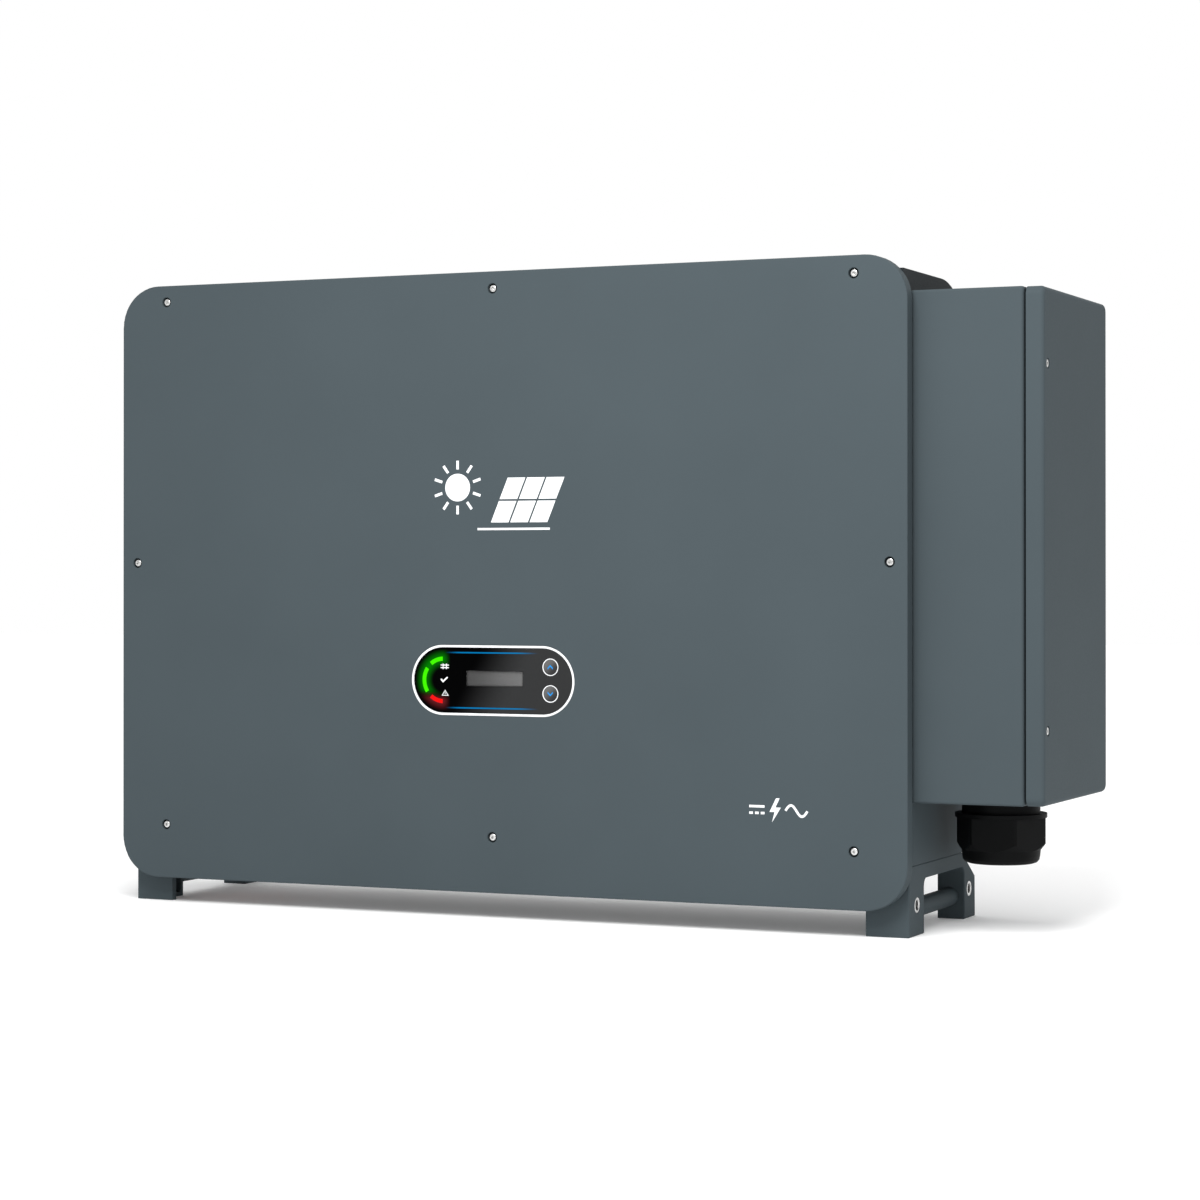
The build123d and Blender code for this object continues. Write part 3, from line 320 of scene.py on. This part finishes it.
def panel_material():
    """Black glass with a painted sheen that lightens it to dark grey, with two printed blue lines and the
    lamps' painted glow.
    """
    material, tree, shader = new_material("display_black_glass")
    x, z = object_axes(tree)
    across = math_node(tree, "SUBTRACT", x, LIGHT_X)
    up = math_node(tree, "SUBTRACT", z, DISPLAY_Z)
    # Painted sheen: the black lightens to dark grey slightly aslant, from the lamps' side to the buttons'
    # side.
    slanted = math_node(tree, "SUBTRACT", x, math_node(tree, "MULTIPLY", up, SHEEN_SLANT))
    painted_sheen = ramp_between(tree, slanted, SHEEN_START, SHEEN_END)
    grain = spread(tree, noise(tree, scale=500.0, detail=1.0), 0.96, 1.04)
    tone = two_colours(tree, math_node(tree, "MULTIPLY", painted_sheen, grain), PANEL_BLACK, PANEL_SHEEN_GREY)
    off_line = math_node(tree, "SUBTRACT", math_node(tree, "ABSOLUTE", up), LINE_OFFSET)
    lines = line_mask(tree, off_line, LINE_WIDTH / 2)
    starts = ramp_between(tree, x, *LINE_FADE_IN)
    ends = ramp_between(tree, x, *LINE_FADE_OUT, 1.0, 0.0)
    shown = math_node(tree, "MULTIPLY", lines, math_node(tree, "MULTIPLY", starts, ends))
    link(tree, two_colours(tree, shown, tone, PRINT_BLUE), shader.inputs["Base Color"])
    # Painted glow: the panel's own emission stands in for light that leaks sideways from the arc of lamps.
    across_squared = math_node(tree, "MULTIPLY", across, across)
    up_squared = math_node(tree, "MULTIPLY", up, up)
    distance = math_node(tree, "SQRT", math_node(tree, "ADD", across_squared, up_squared))
    off_arc = math_node(tree, "ABSOLUTE", math_node(tree, "SUBTRACT", distance, LIGHT_ARC))
    ring = ramp_between(tree, off_arc, -1.0 * MM, GLOW_REACH, 1.0, 0.0)
    left = ramp_between(tree, across, -2.0 * MM, 9.0 * MM, 1.0, 0.0)
    below = math_node(tree, "SUBTRACT", up, GLOW_CHANGE)
    between = ramp_between(tree, math_node(tree, "ABSOLUTE", below), 0.0, GLOW_GAP, 0.3, 1.0)
    glow = math_node(tree, "MULTIPLY", math_node(tree, "MULTIPLY", ring, between), left)
    green_part = ramp_between(tree, below, -GLOW_BLEND, GLOW_BLEND)
    link(tree, two_colours(tree, green_part, GLOW_RED, GLOW_GREEN), shader.inputs["Emission Color"])
    dimmer = ramp_between(tree, below, -GLOW_BLEND, GLOW_BLEND, 0.38, 0.5)
    link(tree, math_node(tree, "MULTIPLY", glow, dimmer), shader.inputs["Emission Strength"])
    shader.inputs["Roughness"].default_value = 0.3
    shader.inputs["Specular IOR Level"].default_value = 0.01
    return material


def screen_material():
    """The switched-off text screen: a grey film, lighter towards its right end as painted light, with
    painted shade darkening its edges.
    """
    material, tree, shader = new_material("screen_grey")
    x, z = object_axes(tree)
    low, high = node_box("lcd_window")
    # Painted light: the grey film is lighter towards its right end.
    tone = two_colours(tree, ramp_between(tree, x, low.x, high.x), SCREEN_SHADED_LEFT, SCREEN_LIT_RIGHT)
    # Painted shade: the film darkens to the edge colour in a narrow band along its edges.
    left = ramp_between(tree, x, low.x, low.x + SCREEN_EDGE_SHADE_WIDTH)
    right = ramp_between(tree, x, high.x - SCREEN_EDGE_SHADE_WIDTH, high.x, 1.0, 0.0)
    bottom = ramp_between(tree, z, low.z, low.z + SCREEN_EDGE_SHADE_WIDTH / 2)
    top = ramp_between(tree, z, high.z - SCREEN_EDGE_SHADE_WIDTH / 2, high.z, 1.0, 0.0)
    sides = math_node(tree, "MULTIPLY", left, right)
    unshaded_middle = math_node(tree, "MULTIPLY", sides, math_node(tree, "MULTIPLY", bottom, top))
    link(tree, two_colours(tree, unshaded_middle, SCREEN_EDGE_SHADE, tone), shader.inputs["Base Color"])
    shader.inputs["Roughness"].default_value = 0.5
    shader.inputs["Specular IOR Level"].default_value = 0.1
    return material


def window_material():
    """A thin clear film that dims the screen a little."""
    material, tree, shader = new_material("screen_window")
    shader.inputs["Base Color"].default_value = (0.1, 0.1, 0.1, 1)
    shader.inputs["Alpha"].default_value = 0.12
    shader.inputs["Specular IOR Level"].default_value = 0.1
    smudge = noise(tree, scale=80.0, detail=2.0)
    link(tree, spread(tree, smudge, 0.2, 0.3), shader.inputs["Roughness"])
    return material


def button_material(name, node, direction):
    """A dark domed key with painted shading, lighter at top left and darker at bottom right, and a printed
    blue chevron; direction is 1 for up and -1 for down.
    """
    material, tree, shader = new_material(name)
    x, z = object_axes(tree)
    low, high = node_box(node)
    right = math_node(tree, "SUBTRACT", x, (low.x + high.x) / 2)
    up = math_node(tree, "SUBTRACT", z, (low.z + high.z) / 2)
    # Painted shading of the dome: lighter at top left, darker at bottom right.
    slanted = math_node(tree, "SUBTRACT", right, up)
    painted_dome_shading = two_colours(tree, ramp_between(tree, slanted, -DOME_SHADING_REACH, DOME_SHADING_REACH), DOME_PAINTED_HIGHLIGHT, DOME_PAINTED_SHADE)
    away = math_node(tree, "ABSOLUTE", right)
    slope = math_node(tree, "ADD", math_node(tree, "MULTIPLY", up, direction), away)
    stroke = line_mask(tree, math_node(tree, "SUBTRACT", slope, CHEVRON_RISE), CHEVRON_STROKE / 2)
    arms = ramp_between(tree, away, CHEVRON_HALF, CHEVRON_HALF + 0.2 * MM, 1.0, 0.0)
    chevron = math_node(tree, "MULTIPLY", stroke, arms)
    link(tree, two_colours(tree, chevron, painted_dome_shading, CHEVRON_BLUE), shader.inputs["Base Color"])
    shader.inputs["Roughness"].default_value = 0.4
    shader.inputs["Specular IOR Level"].default_value = 0.15
    return material


FINISHES = {
    "grey_paint": painted("grey_powder_coat", GREY),
    "dark_paint": painted("dark_powder_coat", DARK, 0.6, 0.1),
    "seal_rubber": moulded("seal_rubber", (0.014, 0.014, 0.014), 0.8, 0.15),
    "stainless_steel": metal("stainless_steel", (0.62, 0.62, 0.61), 0.3),
    "galvanised_steel": galvanised("zinc_spangle"),
    "bare_aluminium": metal("extruded_aluminium", (0.63, 0.64, 0.65), 0.38),
    "black_plastic": moulded("black_plastic", (0.004, 0.0043, 0.0045), 0.5, 0.05),
    "orange_plastic": moulded("orange_plastic", (0.62, 0.09, 0.015), 0.45),
    "white_trim": moulded("white_trim", (0.72, 0.73, 0.74), 0.3, 0.3, grain=0.02 * MM),
    "black_gloss": panel_material(),
    "clear_window": window_material(),
    "grey_screen": screen_material(),
    "green_light": lamp("green_lamp", (0.06, 1.0, 0.0), 1.0),
    "red_light": lamp("red_lamp", (1.0, 0.008, 0.008), 1.0),
    "circuit_board": board("circuit_board"),
    "copper": metal("copper", (0.86, 0.42, 0.24), 0.3),
    "capacitor_sleeve": moulded("capacitor_sleeve", (0.02, 0.04, 0.16), 0.3, 0.4, grain=0.01 * MM),
    "potted_choke": moulded("potting_compound", (0.02, 0.02, 0.02), 0.6),
    "grey_insulator": moulded("grey_insulator", (0.3, 0.3, 0.29), 0.5),
}


NODE_FINISHES = {
    "button_up": button_material("button_up_print", "button_up", 1.0),
    "button_down": button_material("button_down_print", "button_down", -1.0),
}


def dress_cad_nodes():
    slots = {entry["node"]: entry["material_slot"] for entry in frame["record"]["subparts"]}
    for name, obj in frame["nodes"].items():
        finish = NODE_FINISHES.get(name) or FINISHES[slots[name]]
        obj.data.materials.clear()
        obj.data.materials.append(finish)


dress_cad_nodes()


# ---------- printed marks ----------

PRINT_PROUD = 0.05 * MM
PRINT_DEPTH = 0.2 * MM
SIGN_STROKE = 1.0


def printed(name, shapes, surface_y):
    """Thin closed plates for outlines of (x, z) points in metres, standing just proud of a front surface."""
    mesh = bpy.data.meshes.new(name)
    build = bmesh.new()
    for points in shapes:
        corners = [build.verts.new((x, surface_y - PRINT_PROUD, z)) for x, z in points]
        face = build.faces.new(corners)
        sweep = bmesh.ops.extrude_face_region(build, geom=[face])
        moved = [v for v in sweep["geom"] if isinstance(v, bmesh.types.BMVert)]
        bmesh.ops.translate(build, verts=moved, vec=(0, PRINT_DEPTH, 0))
    bmesh.ops.recalc_face_normals(build, faces=build.faces)
    build.to_mesh(mesh)
    build.free()
    obj = bpy.data.objects.new(name, mesh)
    bpy.context.scene.collection.objects.link(obj)
    mesh.materials.append(FINISHES["white_trim"])
    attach(obj, BODY)
    return obj


def stroke(start, end, width):
    """The outline of a straight bar between two points."""
    (x0, z0), (x1, z1) = start, end
    length = math.hypot(x1 - x0, z1 - z0)
    side_x = -(z1 - z0) / length * width / 2
    side_z = (x1 - x0) / length * width / 2
    return [
        (x0 + side_x, z0 + side_z),
        (x1 + side_x, z1 + side_z),
        (x1 - side_x, z1 - side_z),
        (x0 - side_x, z0 - side_z),
    ]


def on_circle(centre, radius, angle):
    return centre[0] + radius * math.cos(angle), centre[1] + radius * math.sin(angle)


def dot(centre, radius, sides=48):
    turn = 2 * math.pi / sides
    return [on_circle(centre, radius, n * turn) for n in range(sides)]


def placed(shapes, origin):
    """Outlines in millimetres, moved to a place in metres."""
    return [[(origin[0] + x * MM, origin[1] + z * MM) for x, z in points] for points in shapes]


def wave(length, height, width, steps=40):
    """A ribbon along one period of a sine."""
    middle = []
    for n in range(steps + 1):
        share = n / steps
        middle.append((share * length, height * math.sin(2 * math.pi * share)))
    upper, lower = [], []
    for n, (x, z) in enumerate(middle):
        slope = height * 2 * math.pi / length * math.cos(2 * math.pi * n / steps)
        size = math.hypot(1, slope)
        upper.append((x - slope / size * width / 2, z + width / size / 2))
        lower.append((x + slope / size * width / 2, z - width / size / 2))
    return upper + lower[::-1]


def sun_and_panel():
    """A sun with rays beside a leaning solar panel of six cells."""
    sun = (-44.0, 8.0)
    rays = 10
    shapes = [dot(sun, 15.0)]
    for n in range(rays):
        angle = math.radians(360 / rays * n + 18)
        shapes.append(stroke(on_circle(sun, 19.5, angle), on_circle(sun, 29.0, angle), 3.0))
    lean = 0.42
    bottom = -30.0
    cell_width, cell_height = 21.0, 23.0
    gap = 2.0
    for column in range(3):
        for row in range(2):
            low = bottom + row * (cell_height + gap)
            high = low + cell_height
            left = -4.0 + column * (cell_width + gap) + lean * (low - bottom)
            right = left + cell_width
            shift = lean * cell_height
            shapes.append([(left, low), (right, low), (right + shift, high), (left + shift, high)])
    shapes.append(stroke((-20.0, -37.0), (66.0, -37.0), 2.4))
    return shapes


def direct_to_alternating():
    """The usual signs for direct and alternating current, with a bolt between them."""
    thick = 2.6
    line = 17.0
    dash = 4.2
    shapes = [stroke((0, 3.6), (line, 3.6), thick)]
    shapes += [stroke((x, -3.2), (x + dash, -3.2), thick) for x in (0.0, 6.4, 12.8)]
    shapes.append([
        (29.6, 12.5), (22.4, -1.8), (28.0, -1.8), (25.2, -12.5),
        (35.0, 3.0), (29.0, 3.0), (33.6, 12.5),
    ])
    shapes.append([(40.0 + x, z) for x, z in wave(24.0, 5.6, thick)])
    return shapes


def mesh_sign():
    """Crossed lines, for the connection to the grid."""
    shapes = [stroke((x, -3.0), (x, 3.0), SIGN_STROKE) for x in (-2.0, 2.0)]
    half = SIGN_STROKE / 2
    for z in (-1.4, 1.4):
        for start, end in ((-5.0, -2.0 - half), (-2.0 + half, 2.0 - half), (2.0 + half, 5.0)):
            shapes.append(stroke((start, z), (end, z), SIGN_STROKE))
    return shapes


def tick_sign():
    return [[(-4.6, 0.4), (-3.5, 1.5), (-1.6, -0.5), (3.4, 3.6), (4.4, 2.4), (-1.6, -2.8)]]


def alarm_sign():
    """A triangle with a bar in it."""
    outer, inner = 4.3, 2.9
    sides = []
    for n in range(3):
        corners = []
        for radius, turn in ((outer, n), (outer, n + 1), (inner, n + 1), (inner, n)):
            angle = math.radians(90 + 120 * turn)
            corners.append((radius * 1.15 * math.cos(angle), radius * math.sin(angle) - 0.8))
        sides.append(corners)
    return sides + [stroke((0, 0.7), (0, -1.5), 0.7)]


EMBLEM_PLACE = (COVER_X + 2.5 * MM, 456.0 * MM)
CORNER_PLACE = (COVER_X + 296.0 * MM, 127.5 * MM)
GRID_PLACE = (COVER_X - 57.5 * MM, DISPLAY_Z + 14.7 * MM)
NORMAL_PLACE = (COVER_X - 58.0 * MM, DISPLAY_Z)
ALARM_PLACE = (COVER_X - 57.0 * MM, DISPLAY_Z - 14.0 * MM)

printed("front_emblem", placed(sun_and_panel(), EMBLEM_PLACE), COVER_Y)
printed("corner_mark", placed(direct_to_alternating(), CORNER_PLACE), COVER_Y)
printed("grid_sign", placed(mesh_sign(), GRID_PLACE), PANEL_Y)
printed("normal_sign", placed(tick_sign(), NORMAL_PLACE), PANEL_Y)
printed("alarm_sign", placed(alarm_sign(), ALARM_PLACE), PANEL_Y)


# ---------- floor, light and camera ----------

FLOOR_SIZE = 12.0
FLOOR_LIFT = 0.08
KEY_PLACE = (0.5, -1.5, 1.75)
KEY_TARGET = (0.2, 0, 0.35)
KEY_SIZE = (1.0, 1.0)
KEY_POWER = 44
CAMERA_PLACE = (1.3651, -3.0568, 0.3730)
CAMERA_TILT = 0.236
CAMERA_TURN = 24.187
CAMERA_LENS = 90.48
CAMERA_SHIFT = -0.0338


def floor():
    mesh = bpy.data.meshes.new("floor")
    build = bmesh.new()
    bmesh.ops.create_grid(build, x_segments=1, y_segments=1, size=FLOOR_SIZE)
    build.to_mesh(mesh)
    build.free()
    obj = bpy.data.objects.new("floor", mesh)
    bpy.context.scene.collection.objects.link(obj)
    material, tree, shader = new_material("pale_floor")
    shader.inputs["Base Color"].default_value = (0.98, 0.98, 0.98, 1)
    shader.inputs["Roughness"].default_value = 0.9
    shader.inputs["Emission Color"].default_value = (1, 1, 1, 1)
    shader.inputs["Emission Strength"].default_value = FLOOR_LIFT
    mesh.materials.append(material)


def area_light(name, place, target, size, power):
    data = bpy.data.lights.new(name, "AREA")
    data.shape = "RECTANGLE"
    data.size, data.size_y = size
    data.energy = power
    obj = bpy.data.objects.new(name, data)
    bpy.context.scene.collection.objects.link(obj)
    obj.location = place
    obj.rotation_euler = (Vector(target) - Vector(place)).to_track_quat("-Z", "Y").to_euler()


def world(colour, strength):
    background = bpy.data.worlds.new("studio")
    background.use_nodes = True
    shader = next(n for n in background.node_tree.nodes if n.type == "BACKGROUND")
    shader.inputs["Color"].default_value = (*colour, 1)
    shader.inputs["Strength"].default_value = strength
    bpy.context.scene.world = background


def camera():
    data = bpy.data.cameras.new("camera")
    data.sensor_width = 36.0
    data.lens = CAMERA_LENS
    data.shift_y = CAMERA_SHIFT
    data.clip_end = 60.0
    obj = bpy.data.objects.new("camera", data)
    bpy.context.scene.collection.objects.link(obj)
    obj.location = CAMERA_PLACE
    obj.rotation_euler = Euler((math.radians(90 + CAMERA_TILT), 0, math.radians(CAMERA_TURN)))
    bpy.context.scene.camera = obj


floor()
world((1.0, 1.0, 1.0), 1.0)
area_light("key", KEY_PLACE, KEY_TARGET, KEY_SIZE, KEY_POWER)
camera()
bpy.context.scene.view_settings.view_transform = "Standard"
